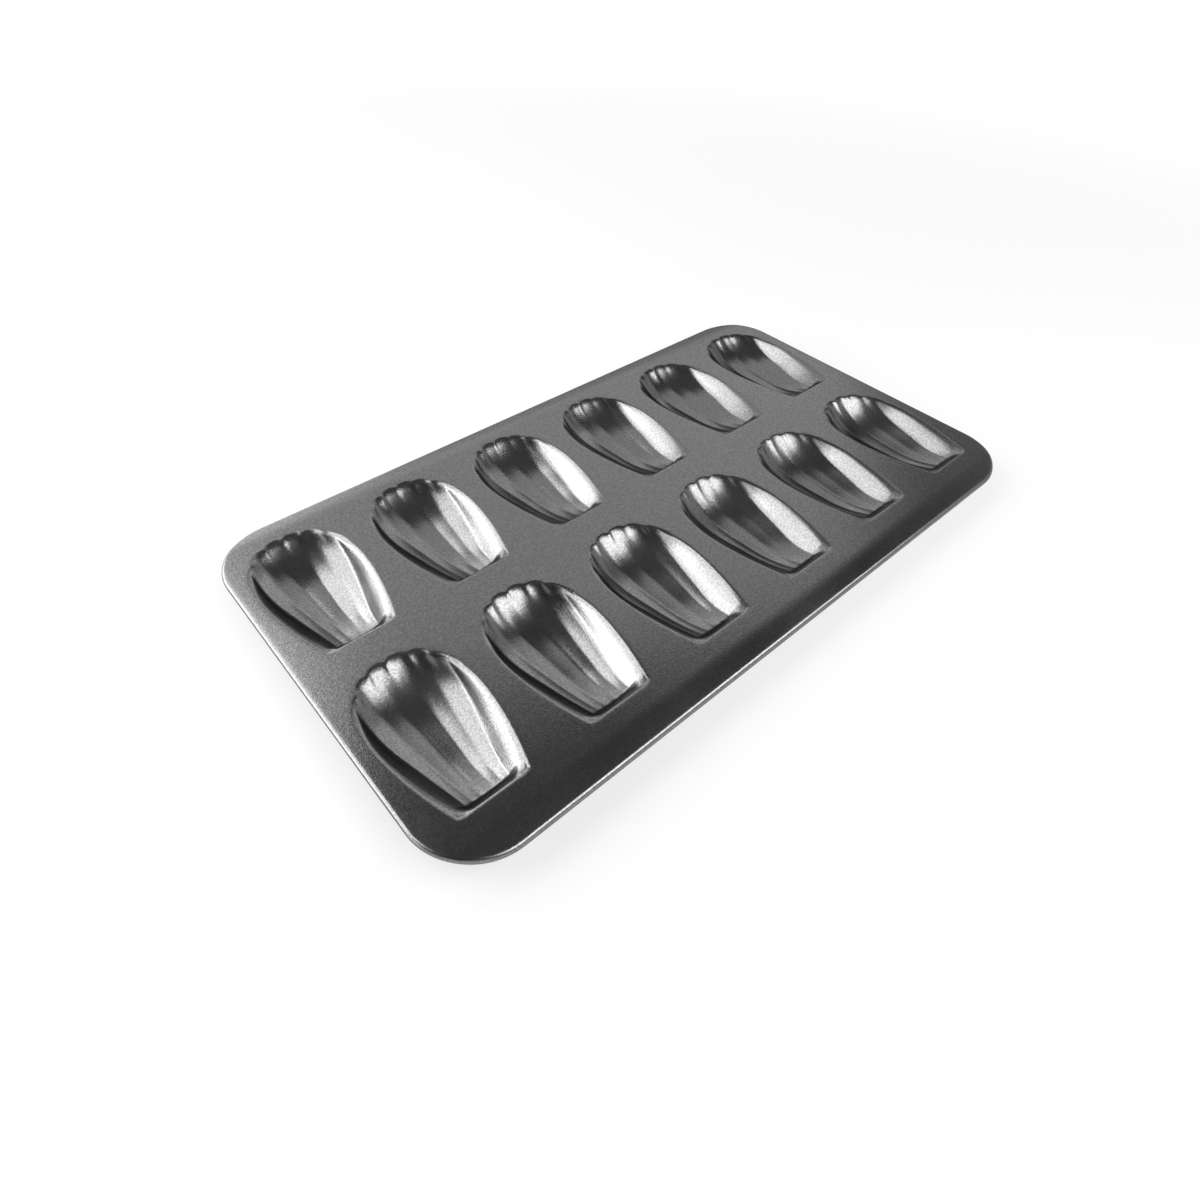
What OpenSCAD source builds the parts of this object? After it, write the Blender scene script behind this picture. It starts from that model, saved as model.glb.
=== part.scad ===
// A steel baking pan with two rows of six shell moulds and a rolled rim.
// X runs along the long side, the flat ends of the moulds face the front (-Y),
// and the undersides of the moulds stand on Z = 0.

/* [Pan] */
// Thickness of the steel sheet
sheet_t = 0.7; // [0.5:0.1:0.9]
// Radius of the corners, seen from above
corner_r = 30; // [22:1:36]
// Outer radius of the rolled rim
rim_r = 1.8; // [1.6:0.1:2.2]
// Slack between the rim's wire and the sheet rolled round it
wire_gap = 0.15; // [0.1:0.05:0.3]
// Deck between the outermost moulds and the short edges
end_margin = 8.5; // [7:0.1:14]
// Deck between the flat ends of the front row and the front edge
front_margin = 21.8; // [17:0.1:28]
// Deck between the shell ends of the back row and the back edge
back_margin = 15.9; // [14:0.1:24]
// Width of the strip along each long edge that slopes down
strip_w = 10; // [7:0.5:12]
// Slope of that strip in degrees
strip_angle = 8; // [4:1:12]

/* [Moulds] */
// Length of a mould
mould_l = 78; // [72:0.5:84]
// Width of a mould where it is widest
mould_w = 48.4; // [44:0.2:52]
// Width of a mould's flat end
flat_w = 30.4; // [26:0.2:33]
// Distance from the flat end to the widest place
belly_y = 46.5; // [42:0.5:52]
// Depth of a mould at the bottom of its grooves
mould_depth = 12.6; // [11:0.1:15]
// Depth at the foot of the flat end's wall
foot_depth = 6.9; // [5:0.1:8]
// Distance from the flat end to the foot of its wall
foot_run = 4.8; // [4:0.1:8]
// How far the sides lie ahead of the flat end's middle at its corners
corner_cut = 0.9; // [0.3:0.1:2.5]
// Height of the middle rib over the grooves beside it
rib_h = 0.15; // [0.1:0.05:0.6]
// Depth of the notches that the ribs cut into the shell end's outline
notch_depth = 1.6; // [0.8:0.1:2]
// Width of the flat bottom in the two middle grooves
groove_flat = 1; // [0.6:0.1:1.4]
// Width of the soft lip round a mould
lip_w = 1.7; // [1:0.1:2]
// How far the lip lies below the deck where it meets the wall
lip_drop = 0.45; // [0.3:0.05:0.7]
// Deck between two moulds of a row
mould_gap = 13.6; // [10:0.1:20]
// Deck between the two rows
row_gap = 18.9; // [12:0.1:26]

/* [Hidden] */
coat = [0.24, 0.24, 0.25];
coat_deep = [0.34, 0.34, 0.36];
coat_rim = [0.18, 0.18, 0.19];
bare_wire = [0.62, 0.63, 0.65];

// Overall sizes that follow from the ones above
cols = 6;
rows = 2;
pitch_x = mould_w + mould_gap;
pitch_y = mould_l + row_gap;
pan_l = cols * mould_w + (cols - 1) * mould_gap + 2 * end_margin;
pan_w = front_margin + rows * mould_l + (rows - 1) * row_gap + back_margin;
deck_z = mould_depth + sheet_t;
bend_y = pan_w / 2 - strip_w;
wire_r = rim_r - sheet_t - wire_gap;

function lerp(a, b, u) = a + (b - a) * u;
function unit(v) = v / norm(v);

// Outline of a mould, with the middle of its flat end at the origin
half_w = mould_w / 2;
side_bow = 1.75;
shell_round = 2.3;
function side_x(y) =
    y <= belly_y
    ? lerp(half_w, flat_w / 2, pow(1 - y / belly_y, side_bow))
    : half_w * pow(1 - pow((y - belly_y) / (mould_l - belly_y), shell_round), 1 / shell_round);
function shell_y(x) =
    belly_y + (mould_l - belly_y) * pow(1 - pow(abs(x) / half_w, shell_round), 1 / shell_round);

// The lines that run from the flat end to the shell end on the right half:
// both edges of the middle groove, the second groove, the third groove and
// the side. Feet are shares of the flat end, tips shares of the half width,
// and the depths are shares of the middle groove's at the foot and midway.
// wall_bow bends the side walls, and fan_power the rise to the shell end.
// notch_sharp makes the scallops round and the notches between them narrow,
// and notch_reach keeps the notches close to the edge.
groove_foot = [0.145, 0.42, 0.66];
groove_tip = [0.205, 0.57, 0.862];
side_tip = 0.954;
depth_foot = [1, 0.93, 0.78];
depth_mid = [1, 0.86, 0.64];
groove_bow = 1.7;
wall_bow = 0.85;
fan_power = 2.6;
notch_sharp = 2.5;
notch_reach = 14;
foot_x = [for (g = groove_foot) g * flat_w / 2];
tip_x = [for (g = groove_tip) g * half_w];
half_flat = groove_flat / 2;
right_foot = [foot_x[0] - half_flat, foot_x[0] + half_flat, foot_x[1], foot_x[2], flat_w / 2];
right_tip = [tip_x[0] - half_flat, tip_x[0] + half_flat, tip_x[1], tip_x[2], side_tip * half_w];
right_deep_foot = [depth_foot[0], depth_foot[0], depth_foot[1], depth_foot[2], 0];
right_deep_mid = [depth_mid[0], depth_mid[0], depth_mid[1], depth_mid[2], 0];
SIDE = 4;

// Strips between neighbouring lines, from the left side to the right side:
// the two lines as signed places in the lists above, the steps across, and
// how much of the full rib the strip has
strips = [
    [-5, -4, 2, 0],
    [-4, -3, 4, 0.75],
    [-3, -2, 4, 0.9],
    [-2, -1, 1, 0],
    [-1, 1, 4, 1],
    [1, 2, 1, 0],
    [2, 3, 4, 0.9],
    [3, 4, 4, 0.75],
    [4, 5, 2, 0]];
across = concat(
    [for (s = strips) for (k = [0 : s[2] - 1]) [s[0], s[1], k / s[2], s[3]]],
    [[4, 5, 1, 0]]);
nj = len(across) - 1;

// Stations along a mould: distances down the flat end's wall, then shares of
// the rest of the way to the shell end
wall_stations = [0, 0.5];
deepest = [0.36, 0.51];
floor_stations = [0, 0.08, 0.2, deepest[0], deepest[1], 0.62, 0.72, 0.81, 0.89, 0.95, 1];
stations = concat(
    [for (w = wall_stations) [w, 0]],
    [for (s = floor_stations) [1, s]]);
ni = len(stations) - 1;

function line_index(b) = abs(b) - 1;
function tip_point(x) = [x, shell_y(x)];
function rib_rise(u) = 4 * u * (1 - u);
function notch(s, u) = notch_depth * pow(s, notch_reach) * pow(1 - abs(1 - 2 * u), notch_sharp);

// Plan place of a line's point: w goes down the wall, s along the floor
function line_x(b, s, y) =
    let (k = line_index(b))
    sign(b) * (k == SIDE
        ? side_x(y)
        : lerp(right_foot[k], right_tip[k], pow(sin(90 * s), groove_bow)));

// Depth of the middle groove along the mould
function groove_depth(s) =
    s <= deepest[0] ? mould_depth - (mould_depth - foot_depth) * pow(1 - s / deepest[0], 2)
    : s <= deepest[1] ? mould_depth
    : mould_depth * (1 - pow((s - deepest[1]) / (1 - deepest[1]), fan_power));
function line_depth(b, s) =
    let (k = line_index(b))
    lerp(right_deep_foot[k], right_deep_mid[k], sin(90 * min(1, s / 0.6)));

// One point of a mould's inner face, before its lip is added
function inner_point(i, j) =
    let (
        a = across[j][0],
        b = across[j][1],
        u = across[j][2],
        rib = across[j][3],
        w = stations[i][0],
        s = stations[i][1],
        // share of the strip, counted from its side that is nearer the middle
        is_wall = abs(a) == 5 || abs(b) == 5,
        v = a < 0 ? 1 - u : u,
        tip_x_here = lerp(sign(a) * right_tip[line_index(a)], sign(b) * right_tip[line_index(b)], u),
        tip = tip_point(tip_x_here),
        start_y = is_wall ? corner_cut * pow(v, 3) : 0,
        y = w < 1 ? lerp(start_y, foot_run, w) : lerp(foot_run, tip[1], s),
        run = max(0, y / tip[1]),
        x = lerp(line_x(a, run, y), line_x(b, run, y), u),
        x_shell = lerp(x, tip[0], pow(s, 12)),
        place = [x_shell, y] - rib * notch(s, u) * unit(tip - [0, belly_y]),
        share = is_wall
            ? line_depth(a < 0 ? b : a, s) * (1 - pow(v, wall_bow))
            : lerp(line_depth(a, s), line_depth(b, s), u),
        rise = rib_h * rib * rib_rise(u) * (1 - pow(s, 6)) * lerp(0.5, 1, min(1, s / 0.4)) * w,
        depth = (w < 1 ? foot_depth * w : groove_depth(s)) * share
    )
    [place[0], place[1], rise - depth];

inner = [for (i = [0 : ni]) [for (j = [0 : nj])
    let (p = inner_point(i, j))
    [p[0], p[1], min(p[2], -lip_drop)]]];

// The edge of a mould as one loop, and the same loop moved out by the lip
loop = concat(
    [for (j = [0 : nj]) [0, j]],
    [for (i = [1 : ni]) [i, nj]],
    [for (j = [nj - 1 : -1 : 0]) [ni, j]],
    [for (i = [ni - 1 : -1 : 1]) [i, 0]]);
nl = len(loop);
function loop_point(k) =
    let (e = loop[(k + nl) % nl], p = inner[e[0]][e[1]])
    [p[0], p[1]];
function outward(k) =
    let (t = unit(loop_point(k + 1) - loop_point(k - 1)))
    [t[1], -t[0]];
mouth = [for (k = [0 : nl - 1]) loop_point(k) + lip_w * outward(k)];

// The outer face lies one sheet thickness away, square to the inner face. Under
// the deepest stretch of the middle grooves it is level, and the pan stands on it.
function sheet_normal(i, j) =
    let (
        along = inner[min(i + 1, ni)][j] - inner[max(i - 1, 0)][j],
        side = inner[i][min(j + 1, nj)] - inner[i][max(j - 1, 0)]
    )
    unit(cross(side, along));
inner_flat = [for (row = inner) for (p = row) p];
outer_flat = [for (i = [0 : ni]) for (j = [0 : nj])
    let (p = inner[i][j] - sheet_t * sheet_normal(i, j))
    [p[0], p[1], inner[i][j][2] == -mould_depth ? -deck_z : max(p[2], -deck_z)]];
mould_points = concat(
    inner_flat,
    [for (p = mouth) [p[0], p[1], 0]],
    outer_flat,
    [for (p = mouth) [p[0], p[1], -sheet_t]]);

// Places of the points in that list
n_grid = (ni + 1) * (nj + 1);
n_face = n_grid + nl;
function grid_at(i, j) = i * (nj + 1) + j;
function edge_at(k) = let (e = loop[k % nl]) grid_at(e[0], e[1]);
function mouth_at(k) = n_grid + k % nl;

// A skin's triangles, wound to face up
up_faces = concat(
    [for (i = [0 : ni - 1]) for (j = [0 : nj - 1])
        [grid_at(i, j), grid_at(i + 1, j), grid_at(i, j + 1)]],
    [for (i = [0 : ni - 1]) for (j = [0 : nj - 1])
        [grid_at(i + 1, j), grid_at(i + 1, j + 1), grid_at(i, j + 1)]],
    [for (k = [0 : nl - 1]) [mouth_at(k), edge_at(k), mouth_at(k + 1)]],
    [for (k = [0 : nl - 1]) [edge_at(k), edge_at(k + 1), mouth_at(k + 1)]]);
mould_faces = concat(
    up_faces,
    [for (f = up_faces) [f[0] + n_face, f[2] + n_face, f[1] + n_face]],
    [for (k = [0 : nl - 1]) [mouth_at(k), mouth_at(k + 1), mouth_at(k) + n_face]],
    [for (k = [0 : nl - 1]) [mouth_at(k + 1), mouth_at(k + 1) + n_face, mouth_at(k) + n_face]]);

function mould_place(row, col) =
    [(col - (cols - 1) / 2) * pitch_x, -pan_w / 2 + front_margin + row * pitch_y, deck_z];

module mould(row, col) {
    translate(mould_place(row, col))
        color(coat_deep)
            polyhedron(points = mould_points, faces = mould_faces, convexity = 6);
}

// Middle line of the rim, seen from above: each corner's arc has a station
// where the sloping strip's bend meets it
path_r = corner_r - rim_r;
path_cx = pan_l / 2 - corner_r;
path_cy = pan_w / 2 - corner_r;
bend_turn = asin((bend_y - path_cy) / path_r);
low_steps = 4;
high_steps = 4;
corner_turns = concat(
    [for (k = [0 : low_steps - 1]) bend_turn * k / low_steps],
    [for (k = [0 : high_steps]) lerp(bend_turn, 90, k / high_steps)]);
function corner_station(turn) = [path_cx + path_r * cos(turn), path_cy + path_r * sin(turn)];
function path_normal(turn, sx, sy) = [sx * cos(turn), sy * sin(turn)];
nc = len(corner_turns);
// Every station holds its plan place and its outward direction
stations_of = function (sx, sy, backwards)
    [for (k = [0 : nc - 1])
        let (
            turn = corner_turns[backwards ? nc - 1 - k : k],
            p = corner_station(turn)
        )
        [[sx * p[0], sy * p[1]], path_normal(turn, sx, sy)]];
path = concat(
    stations_of(1, 1, false),
    stations_of(-1, 1, true),
    stations_of(-1, -1, false),
    stations_of(1, -1, true));
np = len(path);
function slope_z(y) = -max(0, abs(y) - bend_y) * tan(strip_angle);

// A section swept round the closed path: x points outward, y up
function swept_points(section) =
    [for (st = path) for (q = section)
        [st[0][0] + q[0] * st[1][0], st[0][1] + q[0] * st[1][1], slope_z(st[0][1]) + q[1]]];
function swept_faces(m) =
    [for (k = [0 : np - 1]) for (q = [0 : m - 1]) for (half = [0, 1])
        let (
            a = k * m + q,
            b = k * m + (q + 1) % m,
            c = ((k + 1) % np) * m + q,
            d = ((k + 1) % np) * m + (q + 1) % m
        )
        half == 0 ? [a, b, c] : [b, d, c]];
module swept(section) {
    translate([0, 0, deck_z])
        polyhedron(points = swept_points(section), faces = swept_faces(len(section)), convexity = 8);
}

// The sheet goes over the wire, down outside it and back up inside
curl_sweep = 270;
curl_outer_steps = 9;
curl_inner_steps = 6;
function ring_point(r, turn) = [r * cos(turn), r * sin(turn) - rim_r];
curl_section = concat(
    [for (k = [0 : curl_inner_steps])
        ring_point(rim_r - sheet_t, 90 - curl_sweep * (1 - k / curl_inner_steps))],
    [for (k = [0 : curl_outer_steps])
        ring_point(rim_r, 90 - curl_sweep * k / curl_outer_steps)]);
wire_sides = 10;
wire_section = [for (k = [0 : wire_sides - 1]) ring_point(wire_r, -360 * k / wire_sides)];

module rim_curl() {
    color(coat_rim) swept(curl_section);
}

module rim_wire() {
    color(bare_wire) swept(wire_section);
}

// The deck ends on the rim's middle line, where the curl takes over
module deck_outline() {
    polygon([for (st = path) st[0]]);
}

module flat_plate() {
    translate([0, 0, deck_z - sheet_t])
        linear_extrude(sheet_t)
            intersection() {
                deck_outline();
                square([pan_l, 2 * bend_y], center = true);
            }
}

module sloping_strip(side) {
    intersection() {
        translate([0, side * bend_y, deck_z])
            rotate([-side * strip_angle, 0, 0])
                translate([-pan_l / 2, side > 0 ? 0 : -2 * strip_w, -sheet_t])
                    cube([pan_l, 2 * strip_w, sheet_t]);
        translate([0, 0, deck_z - corner_r])
            linear_extrude(2 * corner_r)
                deck_outline();
    }
}

module deck() {
    color(coat)
        difference() {
            union() {
                flat_plate();
                sloping_strip(1);
                sloping_strip(-1);
            }
            for (row = [0 : rows - 1])
                for (col = [0 : cols - 1])
                    translate(mould_place(row, col) - [0, 0, 2 * sheet_t])
                        linear_extrude(3 * sheet_t)
                            polygon(mouth);
        }
}

deck();
rim_curl();
rim_wire();
mould(0, 0);  // mould_front_1
mould(0, 1);  // mould_front_2
mould(0, 2);  // mould_front_3
mould(0, 3);  // mould_front_4
mould(0, 4);  // mould_front_5
mould(0, 5);  // mould_front_6
mould(1, 0);  // mould_back_1
mould(1, 1);  // mould_back_2
mould(1, 2);  // mould_back_3
mould(1, 3);  // mould_back_4
mould(1, 4);  // mould_back_5
mould(1, 5);  // mould_back_6
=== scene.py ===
import math

import bpy
import numpy as np
from mathutils import Matrix, Vector
from mathutils.geometry import delaunay_2d_cdt


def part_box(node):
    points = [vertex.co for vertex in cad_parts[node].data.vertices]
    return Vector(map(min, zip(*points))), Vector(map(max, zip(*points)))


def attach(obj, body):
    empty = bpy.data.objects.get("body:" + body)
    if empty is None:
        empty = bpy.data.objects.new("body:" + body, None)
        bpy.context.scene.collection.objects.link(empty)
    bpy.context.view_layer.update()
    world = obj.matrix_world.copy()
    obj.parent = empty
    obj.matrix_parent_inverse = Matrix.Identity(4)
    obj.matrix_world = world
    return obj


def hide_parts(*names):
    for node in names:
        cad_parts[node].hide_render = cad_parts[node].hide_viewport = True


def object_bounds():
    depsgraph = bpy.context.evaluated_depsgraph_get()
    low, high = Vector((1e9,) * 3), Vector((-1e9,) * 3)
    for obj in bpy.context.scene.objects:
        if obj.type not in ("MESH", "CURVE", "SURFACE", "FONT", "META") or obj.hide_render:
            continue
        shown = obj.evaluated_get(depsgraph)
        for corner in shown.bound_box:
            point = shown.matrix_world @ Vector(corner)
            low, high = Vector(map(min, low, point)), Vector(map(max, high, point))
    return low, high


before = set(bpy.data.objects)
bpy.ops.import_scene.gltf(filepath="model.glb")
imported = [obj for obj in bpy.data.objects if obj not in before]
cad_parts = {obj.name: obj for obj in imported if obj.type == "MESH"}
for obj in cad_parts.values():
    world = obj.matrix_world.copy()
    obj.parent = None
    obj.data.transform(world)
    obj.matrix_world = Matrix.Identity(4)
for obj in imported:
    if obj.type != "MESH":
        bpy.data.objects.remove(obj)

cad_box = [list(corner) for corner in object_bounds()]

# Shapes below are worked out in millimetres, and turned into metres when a mesh is made
MM = 0.001
ROWS = ("front", "back")
COLS = 6
MOULD_NODES = [f"mould_{row}_{col + 1}" for row in ROWS for col in range(COLS)]

# Sizes of the pan, from the frame
lowest, highest = (np.array(corner) / MM for corner in cad_box)
PAN_L, PAN_W = (highest - lowest)[:2]
DECK_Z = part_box("deck")[1].z / MM

# Sheet and rim: the flange is the flat edge of the rim's sheet, and the sweep in
# degrees is how far the sheet rolls round the wire
SHEET_T = 0.7
CORNER_R = 30.0
RIM_R = 1.8
WIRE_R = 0.95
FLANGE = 3.0
CURL_SWEEP = 270
CORNER_STEPS = 24
CURL_STEPS = 30
CURL_INNER_STEPS = 20
WIRE_STEPS = 16

# The strip along each long edge that slopes down, with half the width of its
# soft bend, the number of the deck's lines across that bend, how far short of
# the deck's outline they stop, and the distance at which two points are one
STRIP_W = 10.0
STRIP_SLOPE = math.tan(math.radians(8))
BEND_Y = PAN_W / 2 - STRIP_W
BEND_SOFT = 3.5
BEND_LINES = 8
LINE_SLACK = 0.001
WELD = 1e-5

# Outline of a mould, with the middle of its flat end at the origin
MOULD_L = 78.0
MOULD_W = 48.4
HALF_W = MOULD_W / 2
FLAT_W = 30.4
BELLY_Y = 46.5
SIDE_BOW = 1.75
SHELL_ROUND = 2.3
CORNER_CUT = 0.9
CORNER_POWER = 3
FAN_BLEND = 12

# Depths of a mould: the deepest stretch is in shares of the floor, and a line
# has its own share of the depth from the midway share of the floor onwards
MOULD_DEPTH = 12.6
FOOT_DEPTH = 6.9
FOOT_RUN = 4.8
DEEPEST = (0.36, 0.51)
MIDWAY = 0.6
WALL_BOW = 0.85
FAN_POWER = 2.6

# A rib starts low at the flat end, is full from a share of the floor onwards,
# fades towards the shell end and cuts a notch into the edge there
RIB_H = 0.15
RIB_START = 0.5
RIB_FULL = 0.4
RIB_FADE = 6
NOTCH_DEPTH = 1.6
NOTCH_SHARP = 2.5
NOTCH_REACH = 14

# Lines along a mould, from the middle outwards: both edges of the middle
# groove's flat, the second groove, the third groove and the side
GROOVE_FLAT = 1.0
GROOVE_FOOT = np.array([0.145, 0.42, 0.66]) * FLAT_W / 2
GROOVE_TIP = np.array([0.205, 0.57, 0.862]) * HALF_W
SIDE_TIP = 0.954 * HALF_W
GROOVE_BOW = 1.7
LINE_FOOT = np.array([GROOVE_FOOT[0] - GROOVE_FLAT / 2, GROOVE_FOOT[0] + GROOVE_FLAT / 2,
                      GROOVE_FOOT[1], GROOVE_FOOT[2], FLAT_W / 2])
LINE_TIP = np.array([GROOVE_TIP[0] - GROOVE_FLAT / 2, GROOVE_TIP[0] + GROOVE_FLAT / 2,
                     GROOVE_TIP[1], GROOVE_TIP[2], SIDE_TIP])
LINE_DEEP_FOOT = np.array([1, 1, 0.93, 0.78, 0])
LINE_DEEP_MID = np.array([1, 1, 0.86, 0.64, 0])
SIDE_LINE = 5

# Strips between two of those lines, from the left side to the right side: the
# lines' signed numbers, the steps across, and the strip's share of the full rib
STRIPS = ((-5, -4, 9, 0), (-4, -3, 9, 0.75), (-3, -2, 9, 0.9), (-2, -1, 2, 0), (-1, 1, 10, 1),
          (1, 2, 2, 0), (2, 3, 9, 0.9), (3, 4, 9, 0.75), (4, 5, 9, 0))

# Steps along a mould, how they crowd towards the upper edge of the walls, how
# even they are along the floor, and how often the creases are smoothed
WALL_STEPS = 8
FLOOR_STEPS = 46
WALL_CROWD = 1.5
SIDE_CROWD = 1.6
FLOOR_EVEN = 0.35
SOFT_ACROSS = 1
SOFT_ALONG = 2

# The soft lip: how deep its bend reaches down the wall, how wide it may get,
# the flat ring round it that meets the deck, and the lip's width in the frame
LIP_REACH = 2.0
LIP_MAX = 1.8
LIP_STEPS = 5
FLAT_RING = 3.0
NODE_LIP = 1.7

# Slope of the wall under the lip: its limit, the least gap it is measured
# over, and the smoothing passes along the edge for it and for the directions
SLOPE_MAX = 1.4
GAP_LEAST = 0.05
SLOPE_PASSES = 6
HEADING_PASSES = 3

# Edges that bend by more than this many degrees are shaded sharp
SHARP_ANGLE = 60

# Coated steel: reflectance, its tint near grazing angles, roughness and its
# cloudy spread, specks as a share of the reflectance, and the sprayed grain
COAT = 0.24
GRAZING = 0.45
ROUGHNESS = 0.24
ROUGHNESS_SPREAD = 0.03
CLOUD_SCALE = 16
SPECKLE = 0.16
SPECKLE_SCALE = 1000
GRAIN = 0.0001
GRAIN_SCALE = 1500
GRAIN_STRENGTH = 0.5

# Most of a noise lies between these two values
NOISE_SPAN = (0.3, 0.7)

# Bare wire
WIRE_COLOUR = (0.6, 0.61, 0.62, 1)
WIRE_ROUGHNESS = (0.2, 0.45)
STREAK_SCALE = 400

# The camera stands where the photograph was taken from
CAMERA_AT = Vector((-214.24, -200.12, 257.42)) * MM
CAMERA_AZIMUTH = -42.955
CAMERA_ELEVATION = 47.789
CAMERA_ROLL = 2.270
LENS_PX = 729.18
IMAGE_PX = 1200

# Soft boxes: name, azimuth from +X towards +Y, elevation, half width and half
# height as angles from the pan, and radiance
LIGHT_DISTANCE = 0.8
SOFT_BOXES = (("left_high", 136.4, 27.5, 26.0, 29.6, 2.97), ("left_low", 127.4, 12.0, 49.7, 11.5, 2.03),
              ("front", -67.4, 46.0, 30.4, 13.9, 4.07), ("far", 62.0, 40.1, 37.5, 19.8, 0.66))

# The room's own light: heights as the sine of the elevation, and levels
ROOM_LEVELS = ((0.0, 1.0), (0.12, 0.36), (0.34, 0.68), (0.64, 0.0), (1.0, 0.11))

# The floor, half its width, and the distances in metres between which it turns
# into a plain backdrop, with the backdrop's share next to the pan
FLOOR_COLOUR = (0.95, 0.95, 0.95, 1)
FLOOR_ROUGHNESS = 0.9
FLOOR_HALF = 3000
BACKDROP_FROM = 0.25
BACKDROP_TO = 0.9
BACKDROP_NEAR = 0.6


def lerp(a, b, u):
    return a + (b - a) * u


def side_x(y):
    """Half the mould's width at a distance from its flat end."""
    low = lerp(HALF_W, FLAT_W / 2, np.clip(1 - y / BELLY_Y, 0, 1) ** SIDE_BOW)
    share = np.clip((y - BELLY_Y) / (MOULD_L - BELLY_Y), 0, 1)
    high = HALF_W * (1 - share ** SHELL_ROUND) ** (1 / SHELL_ROUND)
    return np.where(y <= BELLY_Y, low, high)


def shell_y(x):
    """Distance of the shell end's outline from the flat end, at a place across the mould."""
    across = (1 - (np.abs(x) / HALF_W) ** SHELL_ROUND) ** (1 / SHELL_ROUND)
    return BELLY_Y + (MOULD_L - BELLY_Y) * across


def mould_columns():
    """The two lines, the share of the way between them and the rib's share, for each column."""
    columns = []
    for a, b, steps, rib in STRIPS:
        for k in range(steps):
            u = k / steps
            if b == SIDE_LINE:
                u = 1 - (1 - u) ** SIDE_CROWD
            if a == -SIDE_LINE:
                u = u ** SIDE_CROWD
            columns.append((a, b, u, rib))
    columns.append((SIDE_LINE - 1, SIDE_LINE, 1.0, 0))
    return (np.array(part) for part in zip(*columns))


def mould_rows():
    """Share of the way down the flat end's wall and share of the floor, for each row."""
    wall = (np.arange(WALL_STEPS) / WALL_STEPS) ** WALL_CROWD
    even = np.arange(FLOOR_STEPS + 1) / FLOOR_STEPS
    floor = lerp((1 - np.cos(np.pi * even)) / 2, even, FLOOR_EVEN)
    w = np.concatenate([wall, np.ones(FLOOR_STEPS + 1)])
    s = np.concatenate([np.zeros(WALL_STEPS), floor])
    return w[:, None], s[:, None]


def line_x(line, y, run):
    """A line's place across the mould, at a distance from the flat end and a share of the way."""
    k = np.abs(line) - 1
    groove = lerp(LINE_FOOT[k], LINE_TIP[k], np.sin(np.pi / 2 * run) ** GROOVE_BOW)
    return np.sign(line) * np.where(np.abs(line) == SIDE_LINE, side_x(y), groove)


def line_depth(line, s):
    """A line's share of the middle groove's depth, at a share of the floor."""
    k = np.abs(line) - 1
    return lerp(LINE_DEEP_FOOT[k], LINE_DEEP_MID[k], np.sin(np.pi / 2 * np.clip(s / MIDWAY, 0, 1)))


def groove_depth(s):
    """Depth of the middle groove at a share of the floor."""
    before = MOULD_DEPTH - (MOULD_DEPTH - FOOT_DEPTH) * np.clip(1 - s / DEEPEST[0], 0, 1) ** 2
    beyond = np.clip((s - DEEPEST[1]) / (1 - DEEPEST[1]), 0, 1)
    return np.where(s <= DEEPEST[0], before, MOULD_DEPTH * (1 - beyond ** FAN_POWER))


def rib_height(u, rib, w, s):
    """Height of a rib over its grooves: u goes across it, w down the wall and s along the floor."""
    along = lerp(RIB_START, 1, np.clip(s / RIB_FULL, 0, 1)) * (1 - s ** RIB_FADE)
    return RIB_H * rib * 4 * u * (1 - u) * along * w


def soften(z):
    """Rounds the creases a little, as pressing does, and leaves the edge alone."""
    for _ in range(SOFT_ACROSS):
        z[:, 1:-1] = (z[:, :-2] + 2 * z[:, 1:-1] + z[:, 2:]) / 4
    for _ in range(SOFT_ALONG):
        z[1:-1] = (z[:-2] + 2 * z[1:-1] + z[2:]) / 4
    return z


def mould_grid():
    """A mould's inner face without its lip: its places, its depths and the places without notches."""
    a, b, u, rib = mould_columns()
    w, s = mould_rows()
    is_wall = (np.abs(a) == SIDE_LINE) | (np.abs(b) == SIDE_LINE)
    # Share of the strip, counted from its side that is nearer the middle
    v = np.where(a < 0, 1 - u, u)
    tip_x = lerp(np.sign(a) * LINE_TIP[np.abs(a) - 1], np.sign(b) * LINE_TIP[np.abs(b) - 1], u)
    tip_y = shell_y(tip_x)
    start_y = np.where(is_wall, CORNER_CUT * v ** CORNER_POWER, 0)
    y = np.where(w < 1, lerp(start_y, FOOT_RUN, w), lerp(FOOT_RUN, tip_y, s))
    run = np.clip(y / tip_y, 0, 1)
    x = lerp(line_x(a, y, run), line_x(b, y, run), u)
    plain = np.stack([lerp(x, tip_x, s ** FAN_BLEND), y], axis=-1)
    notch = NOTCH_DEPTH * rib * s ** NOTCH_REACH * (1 - np.abs(1 - 2 * u)) ** NOTCH_SHARP
    spoke = np.stack([tip_x, tip_y - BELLY_Y], axis=-1)
    spoke /= np.linalg.norm(spoke, axis=-1, keepdims=True)
    place = plain - notch[..., None] * spoke

    wall_share = line_depth(np.where(a < 0, b, a), s) * (1 - v ** WALL_BOW)
    share = np.where(is_wall, wall_share, lerp(line_depth(a, s), line_depth(b, s), u))
    depth = np.where(w < 1, FOOT_DEPTH * w, groove_depth(s)) * share - rib_height(u, rib, w, s)
    return place, soften(np.clip(depth, 0, None)), plain


def grid_loop(rows, cols):
    """The grid's edge as one loop, counter-clockwise from above."""
    return ([(0, j) for j in range(cols)] + [(i, cols - 1) for i in range(1, rows)]
            + [(rows - 1, j) for j in range(cols - 2, -1, -1)] + [(i, 0) for i in range(rows - 2, 0, -1)])


def smooth_loop(values, passes):
    """Values along a closed loop, smoothed a number of times."""
    for _ in range(passes):
        values = (np.roll(values, 1, axis=0) + 2 * values + np.roll(values, -1, axis=0)) / 4
    return values


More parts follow.
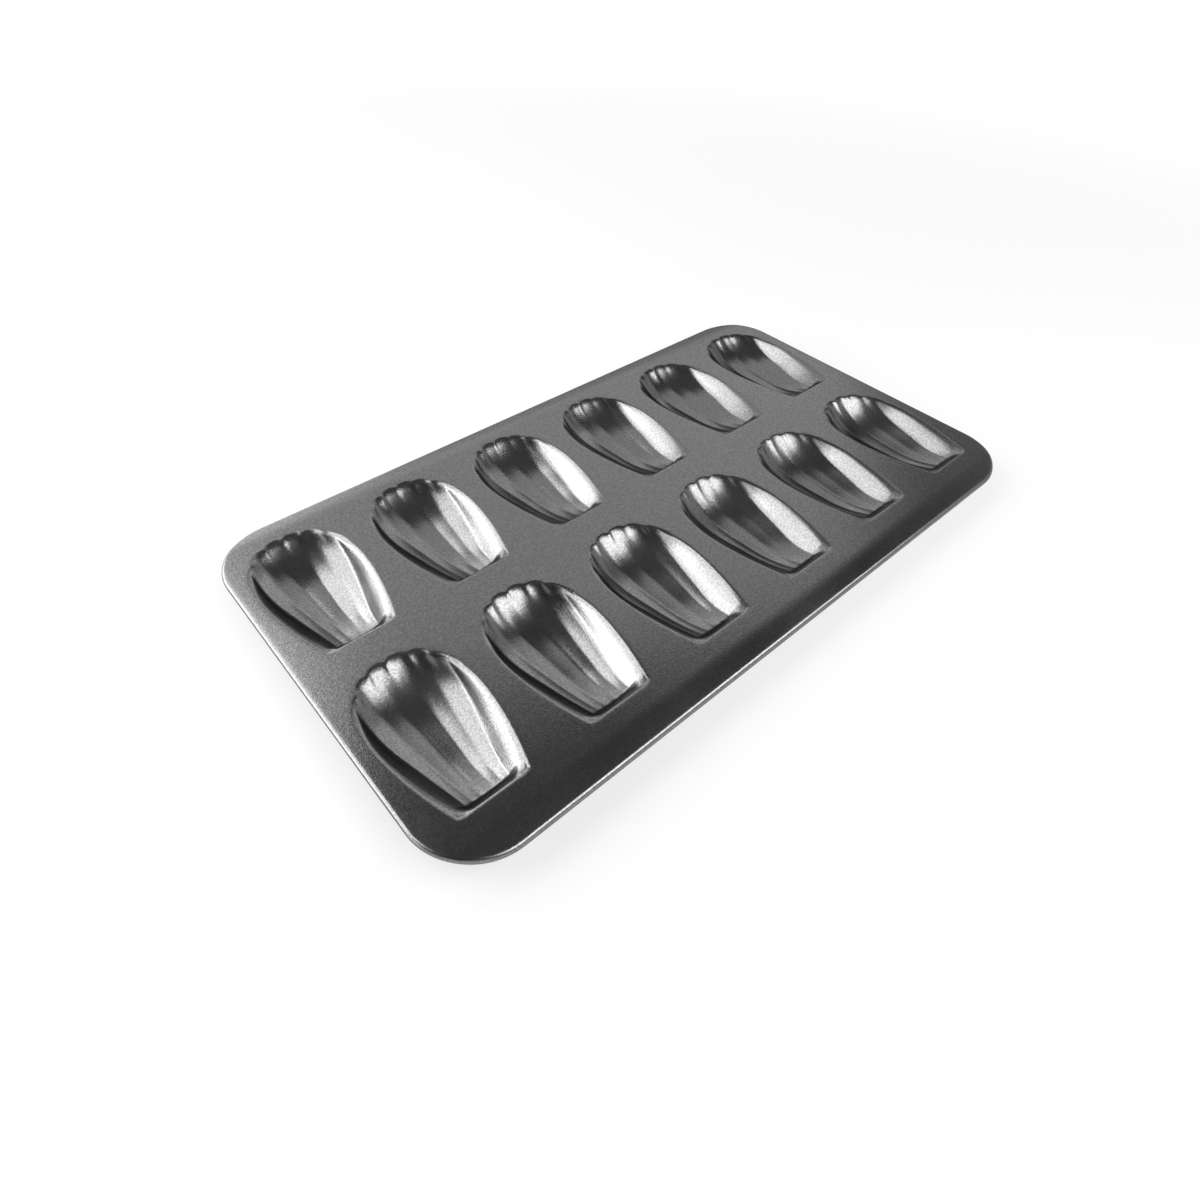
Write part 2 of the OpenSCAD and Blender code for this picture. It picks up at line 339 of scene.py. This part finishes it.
def mould_skin():
    """Points and faces of one side of a mould's sheet: the grid, the lip's rings and the flat ring."""
    place, depth, plain = mould_grid()
    rows, cols = depth.shape
    loop = grid_loop(rows, cols)
    row, col = np.array(loop).T
    edge, plain_edge = place[row, col], plain[row, col]
    chord = np.roll(plain_edge, -1, axis=0) - np.roll(plain_edge, 1, axis=0)
    heading = smooth_loop(chord, HEADING_PASSES)
    heading /= np.linalg.norm(heading, axis=1)[:, None]
    outward = np.column_stack([heading[:, 1], -heading[:, 0]])

    # Slope of the wall where it reaches the edge, from the next ring in
    inner = np.clip(row, 1, rows - 2), np.clip(col, 1, cols - 2)
    gap = np.einsum("ij,ij->i", edge - place[inner], outward)
    slope = np.clip(depth[inner] / np.clip(gap, GAP_LEAST, None), LIP_REACH / LIP_MAX, SLOPE_MAX)
    slope = smooth_loop(slope, SLOPE_PASSES)

    ramp = np.where(depth < LIP_REACH, (depth + LIP_REACH) ** 2 / (4 * LIP_REACH), depth)
    points = [np.column_stack([place.reshape(-1, 2), -ramp.ravel()])]
    for k in range(1, LIP_STEPS + 1):
        away = k / LIP_STEPS
        ring_at = edge + outward * (away * LIP_REACH / slope)[:, None]
        height = np.full(len(loop), -LIP_REACH * (1 - away) ** 2 / 4)
        points.append(np.column_stack([ring_at, height]))
    points.append(np.column_stack([plain_edge + outward * FLAT_RING, np.zeros(len(loop))]))

    faces = [(i * cols + j, i * cols + j + 1, (i + 1) * cols + j + 1, (i + 1) * cols + j)
             for i in range(rows - 1) for j in range(cols - 1)]
    n_grid, n_loop = rows * cols, len(loop)
    ring = [[i * cols + j for i, j in loop]]
    ring += [list(range(n_grid + k * n_loop, n_grid + (k + 1) * n_loop)) for k in range(LIP_STEPS + 1)]
    for near, far in zip(ring, ring[1:]):
        for k in range(n_loop):
            after = (k + 1) % n_loop
            faces.append((far[k], far[after], near[after], near[k]))
    return np.vstack(points), faces, ring[-1]


def point_normals(points, faces):
    """The mean direction of the faces round each point."""
    normals = np.zeros_like(points)
    quads = np.array(faces)
    corners = points[quads]
    face_normal = np.cross(corners[:, 2] - corners[:, 0], corners[:, 3] - corners[:, 1])
    for k in range(4):
        np.add.at(normals, quads[:, k], face_normal)
    return normals / np.linalg.norm(normals, axis=1)[:, None]


def thicken(points, faces, rim):
    """A closed sheet from its upper skin: the lower skin lies one thickness away."""
    lower = points - SHEET_T * point_normals(points, faces)
    lower[:, 2] = np.clip(lower[:, 2], -DECK_Z, None)
    n = len(points)
    under = [tuple(n + k for k in reversed(face)) for face in faces]
    wall = [(rim[k], rim[k] + n, rim[(k + 1) % len(rim)] + n, rim[(k + 1) % len(rim)])
            for k in range(len(rim))]
    return np.vstack([points, lower]), list(faces) + under + wall


def make_mesh(name, points, faces, material):
    """A smooth-shaded mesh object in metres, with its sharp edges kept sharp."""
    mesh = bpy.data.meshes.new(name)
    mesh.from_pydata((np.asarray(points) * MM).tolist(), [], [tuple(map(int, f)) for f in faces])
    mesh.validate()
    mesh.shade_smooth()
    mesh.set_sharp_from_angle(angle=math.radians(SHARP_ANGLE))
    mesh.materials.append(material)
    obj = bpy.data.objects.new(name, mesh)
    bpy.context.scene.collection.objects.link(obj)
    return obj


def strip_drop(y):
    """How far the deck lies below its flat middle, where the long edges slope down."""
    past = np.abs(y) - BEND_Y
    soft = (np.clip(past, -BEND_SOFT, BEND_SOFT) + BEND_SOFT) ** 2 / (4 * BEND_SOFT)
    return STRIP_SLOPE * (soft + np.clip(past - BEND_SOFT, 0, None))


def rim_path(inset):
    """The pan's outline, moved inwards, counter-clockwise, with its outward directions."""
    radius = CORNER_R - inset
    places, outward = [], []
    for quarter, (sx, sy) in enumerate(((1, 1), (-1, 1), (-1, -1), (1, -1))):
        centre = np.array([sx * (PAN_L / 2 - CORNER_R), sy * (PAN_W / 2 - CORNER_R)])
        for k in range(CORNER_STEPS + 1):
            turn = math.pi / 2 * (quarter + k / CORNER_STEPS)
            direction = np.array([math.cos(turn), math.sin(turn)])
            places.append(centre + radius * direction)
            outward.append(direction)
    return np.array(places), np.array(outward)


def sweep(section):
    """A clockwise section swept round the rim: its x points outward, its y up from the deck."""
    places, outward = rim_path(RIM_R)
    m, n = len(section), len(places)
    points = []
    for place, direction in zip(places, outward):
        for out, up in section:
            x, y = place + out * direction
            points.append((x, y, DECK_Z - strip_drop(y) + up))
    faces = []
    for k in range(n):
        for q in range(m):
            after, right = (k + 1) % n, (q + 1) % m
            faces.append((k * m + q, k * m + right, after * m + right, after * m + q))
    return np.array(points), faces


def arc(radius, start, end, steps):
    """Points of an arc round the rim's middle, in degrees from outward."""
    turns = np.radians(np.linspace(start, end, steps + 1))
    return np.column_stack([radius * np.cos(turns), radius * np.sin(turns) - RIM_R])


def make_rim(material):
    """The flange and the sheet rolled round the wire, down the outside and back up the inside."""
    flange_top = [[-FLANGE, 0.0], [-FLANGE / 2, 0.0]]
    flange_under = [[-FLANGE / 2, -SHEET_T], [-FLANGE, -SHEET_T]]
    outside = arc(RIM_R, 90, 90 - CURL_SWEEP, CURL_STEPS)
    inside = arc(RIM_R - SHEET_T, 90 - CURL_SWEEP, 90, CURL_INNER_STEPS)
    section = np.vstack([flange_top, outside, inside, flange_under])
    points, faces = sweep(section)
    return make_mesh("rim_curl_skin", points, faces, material)


def make_wire(material):
    """The round wire in the middle of the curl."""
    points, faces = sweep(arc(WIRE_R, 360, 0, WIRE_STEPS)[:-1])
    return make_mesh("rim_wire_skin", points, faces, material)


def inside_polygon(px, py, polygon):
    """Which points lie inside a closed polygon."""
    inside = np.zeros(len(px), bool)
    for (x0, y0), (x1, y1) in zip(polygon, np.roll(polygon, -1, axis=0)):
        crosses = (y0 > py) != (y1 > py)
        if y0 != y1:
            inside ^= crosses & (px < (x1 - x0) * (py - y0) / (y1 - y0) + x0)
    return inside


def deck_reach(y):
    """How far the deck's own outline reaches to each side at a place across the pan."""
    radius = CORNER_R - RIM_R - FLANGE
    past = max(0.0, abs(y) - (PAN_W / 2 - CORNER_R))
    return PAN_L / 2 - CORNER_R + math.sqrt(max(0.0, radius ** 2 - past ** 2)) - LINE_SLACK


def cut_sheet(outline, holes):
    """Points and triangles of the flat sheet inside an outline and outside the holes."""
    coords, edges = [], []
    for ring in [outline] + holes:
        first = len(coords)
        coords += [Vector(p) for p in ring]
        edges += [(first + k, first + (k + 1) % len(ring)) for k in range(len(ring))]
    for side in (-1, 1):
        for offset in np.linspace(-BEND_SOFT, BEND_SOFT, BEND_LINES):
            y = side * (BEND_Y + offset)
            reach = deck_reach(y)
            first = len(coords)
            coords += [Vector((-reach, y)), Vector((reach, y))]
            edges.append((first, first + 1))
    flat, _, triangles, *_ = delaunay_2d_cdt(coords, edges, [], 0, WELD)
    flat = np.array([tuple(p) for p in flat])
    triangles = np.array([t for t in triangles if len(t) == 3])
    middle = flat[triangles].mean(axis=1)
    keep = inside_polygon(middle[:, 0], middle[:, 1], outline)
    for ring in holes:
        keep &= ~inside_polygon(middle[:, 0], middle[:, 1], ring)
    triangles = triangles[keep]
    used, index = np.unique(triangles, return_inverse=True)
    return flat[used], index.reshape(triangles.shape)


def make_deck(holes, material):
    """The flat sheet between the moulds and the rim, with its long edges bent down."""
    outline, outward = rim_path(RIM_R)
    flat, triangles = cut_sheet(outline - FLANGE * outward, holes)
    top = np.column_stack([flat, DECK_Z - strip_drop(flat[:, 1])])
    under = top - [0, 0, SHEET_T]
    n = len(top)
    sides = dict.fromkeys((t[k], t[(k + 1) % 3]) for t in triangles for k in range(3))
    wall = [(a, a + n, b + n, b) for a, b in sides if (b, a) not in sides]
    faces = [tuple(t) for t in triangles] + [tuple(t[::-1] + n) for t in triangles] + wall
    return make_mesh("deck_skin", np.vstack([top, under]), faces, material)


def new_material(name):
    material = bpy.data.materials.new(name)
    material.use_nodes = True
    nodes = material.node_tree.nodes
    return material, nodes, material.node_tree.links, nodes["Principled BSDF"]


def noise(nodes, links, scale, detail):
    """The value of a noise that is fixed to the object."""
    coords = nodes.new("ShaderNodeTexCoord")
    texture = nodes.new("ShaderNodeTexNoise")
    texture.inputs["Scale"].default_value = scale
    texture.inputs["Detail"].default_value = detail
    links.new(coords.outputs["Object"], texture.inputs["Vector"])
    return texture.outputs["Fac"]


def remap(nodes, links, value, before, after):
    """A value mapped from one range to another."""
    ranges = nodes.new("ShaderNodeMapRange")
    ranges.inputs["From Min"].default_value, ranges.inputs["From Max"].default_value = before
    ranges.inputs["To Min"].default_value, ranges.inputs["To Max"].default_value = after
    links.new(value, ranges.inputs["Value"])
    return ranges.outputs["Result"]


def combine(nodes, links, operation, first, second):
    """Two values joined by a sum, a product or the like."""
    maths = nodes.new("ShaderNodeMath")
    maths.operation = operation
    links.new(first, maths.inputs[0])
    links.new(second, maths.inputs[1])
    return maths.outputs["Value"]


def coated_steel():
    """Dark grey metallic coating with fine specks, a sprayed grain and a cloudy gloss."""
    material, nodes, links, shader = new_material("coated_steel")
    shader.inputs["Metallic"].default_value = 1.0
    shader.inputs["Specular Tint"].default_value = (GRAZING, GRAZING, GRAZING, 1)
    specks = noise(nodes, links, SPECKLE_SCALE, 1)
    tone = remap(nodes, links, specks, NOISE_SPAN, (COAT * (1 - SPECKLE), COAT * (1 + SPECKLE)))
    links.new(tone, shader.inputs["Base Color"])
    cloud = noise(nodes, links, CLOUD_SCALE, 3)
    rough_range = (ROUGHNESS - ROUGHNESS_SPREAD, ROUGHNESS + ROUGHNESS_SPREAD)
    links.new(remap(nodes, links, cloud, NOISE_SPAN, rough_range), shader.inputs["Roughness"])
    bump = nodes.new("ShaderNodeBump")
    bump.inputs["Strength"].default_value = GRAIN_STRENGTH
    bump.inputs["Distance"].default_value = GRAIN
    links.new(noise(nodes, links, GRAIN_SCALE, 2), bump.inputs["Height"])
    links.new(bump.outputs["Normal"], shader.inputs["Normal"])
    return material


def wire_steel():
    """Bare bright wire with fine streaks in its gloss."""
    material, nodes, links, shader = new_material("wire_steel")
    shader.inputs["Metallic"].default_value = 1.0
    shader.inputs["Base Color"].default_value = WIRE_COLOUR
    streaks = noise(nodes, links, STREAK_SCALE, 2)
    links.new(remap(nodes, links, streaks, (0, 1), WIRE_ROUGHNESS), shader.inputs["Roughness"])
    return material


def make_pan():
    """Twelve shells, the deck between them, the rolled rim and its wire, each in place of its node."""
    coat = coated_steel()
    skin, faces, rim = mould_skin()
    points, faces = thicken(skin, faces, rim)
    holes = []
    for node in MOULD_NODES:
        lo, hi = (np.array(corner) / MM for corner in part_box(node))
        # The node's box reaches one lip width past the mould on every side
        place = np.array([(lo[0] + hi[0]) / 2, lo[1] + NODE_LIP, DECK_Z])
        piece = make_mesh(node.replace("mould", "shell"), points + place, faces, coat)
        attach(piece, "root")
        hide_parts(node)
        holes.append(skin[rim][:, :2] + place[:2])
    deck = make_deck(holes, coat)
    curl = make_rim(coat)
    wire = make_wire(wire_steel())
    for piece, node, slot in ((deck, "deck", "coated_steel"), (curl, "rim_curl", "coated_steel"),
                              (wire, "rim_wire", "wire_steel")):
        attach(piece, "root")
        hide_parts(node)


def make_camera():
    """The camera, from its azimuth and elevation seen from the pan and its roll."""
    az, el, roll = (math.radians(v) for v in (CAMERA_AZIMUTH, CAMERA_ELEVATION, CAMERA_ROLL))
    back = Vector((math.sin(az) * math.cos(el), -math.cos(az) * math.cos(el), math.sin(el)))
    right = Vector((math.cos(az), math.sin(az), 0))
    up = back.cross(right)
    right, up = (right * math.cos(roll) + up * math.sin(roll),
                 up * math.cos(roll) - right * math.sin(roll))
    data = bpy.data.cameras.new("camera")
    data.sensor_width = 36
    data.lens = data.sensor_width * LENS_PX / IMAGE_PX
    data.clip_start = 0.01
    camera = bpy.data.objects.new("camera", data)
    camera.matrix_world = Matrix.Translation(CAMERA_AT) @ Matrix((right, up, back)).transposed().to_4x4()
    bpy.context.scene.collection.objects.link(camera)
    bpy.context.scene.camera = camera


def make_floor():
    """A plain white floor that keeps its own light near the pan and is a white backdrop further out."""
    material, nodes, links, shader = new_material("floor_white")
    shader.inputs["Base Color"].default_value = FLOOR_COLOUR
    shader.inputs["Roughness"].default_value = FLOOR_ROUGHNESS
    shader.inputs["Specular IOR Level"].default_value = 0.0
    white = nodes.new("ShaderNodeEmission")
    ray = nodes.new("ShaderNodeLightPath").outputs
    seen = combine(nodes, links, "MAXIMUM", ray["Is Camera Ray"], ray["Is Glossy Ray"])
    seen = combine(nodes, links, "MAXIMUM", seen, ray["Is Transmission Ray"])

    place = nodes.new("ShaderNodeNewGeometry")
    away = nodes.new("ShaderNodeVectorMath")
    away.operation = "LENGTH"
    links.new(place.outputs["Position"], away.inputs[0])
    reach, levels = (BACKDROP_FROM, BACKDROP_TO), (BACKDROP_NEAR, 1.0)
    share = remap(nodes, links, away.outputs["Value"], reach, levels)

    mix = nodes.new("ShaderNodeMixShader")
    links.new(combine(nodes, links, "MULTIPLY", share, seen), mix.inputs["Fac"])
    links.new(shader.outputs["BSDF"], mix.inputs[1])
    links.new(white.outputs["Emission"], mix.inputs[2])
    links.new(mix.outputs["Shader"], nodes["Material Output"].inputs["Surface"])
    corners = [(x * FLOOR_HALF, y * FLOOR_HALF, 0) for x, y in ((-1, -1), (1, -1), (1, 1), (-1, 1))]
    floor = make_mesh("floor", corners, [(0, 1, 2, 3)], material)


def soft_light(name, azimuth, elevation, half_width, half_height, level):
    """A soft box that faces the pan, from its direction, its half angles and its radiance."""
    az, el = math.radians(azimuth), math.radians(elevation)
    away = Vector((math.cos(az) * math.cos(el), math.sin(az) * math.cos(el), math.sin(el)))
    data = bpy.data.lights.new(name, "AREA")
    data.shape = "RECTANGLE"
    data.size = 2 * LIGHT_DISTANCE * math.tan(math.radians(half_width))
    data.size_y = 2 * LIGHT_DISTANCE * math.tan(math.radians(half_height))
    data.energy = level * math.pi * data.size * data.size_y
    light = bpy.data.objects.new(name, data)
    light.location = away * LIGHT_DISTANCE
    light.rotation_mode = "QUATERNION"
    light.rotation_quaternion = away.to_track_quat("Z", "Y")
    light.visible_camera = False
    bpy.context.scene.collection.objects.link(light)


def make_world():
    """A room whose light depends on height alone: white at the horizon and dark overhead."""
    world = bpy.data.worlds.new("studio")
    bpy.context.scene.world = world
    world.use_nodes = True
    nodes, links = world.node_tree.nodes, world.node_tree.links
    coords = nodes.new("ShaderNodeTexCoord")
    split = nodes.new("ShaderNodeSeparateXYZ")
    links.new(coords.outputs["Generated"], split.inputs["Vector"])
    ramp = nodes.new("ShaderNodeValToRGB")
    stops = ramp.color_ramp.elements
    while len(stops) < len(ROOM_LEVELS):
        stops.new(0.5)
    for stop, (height, level) in zip(stops, ROOM_LEVELS):
        stop.position = height
        stop.color = (level, level, level, 1)
    links.new(split.outputs["Z"], ramp.inputs["Fac"])
    links.new(ramp.outputs["Color"], nodes["Background"].inputs["Color"])


make_pan()
make_camera()
make_floor()
make_world()
for soft_box in SOFT_BOXES:
    soft_light(*soft_box)

bpy.context.scene.view_settings.view_transform = "Standard"
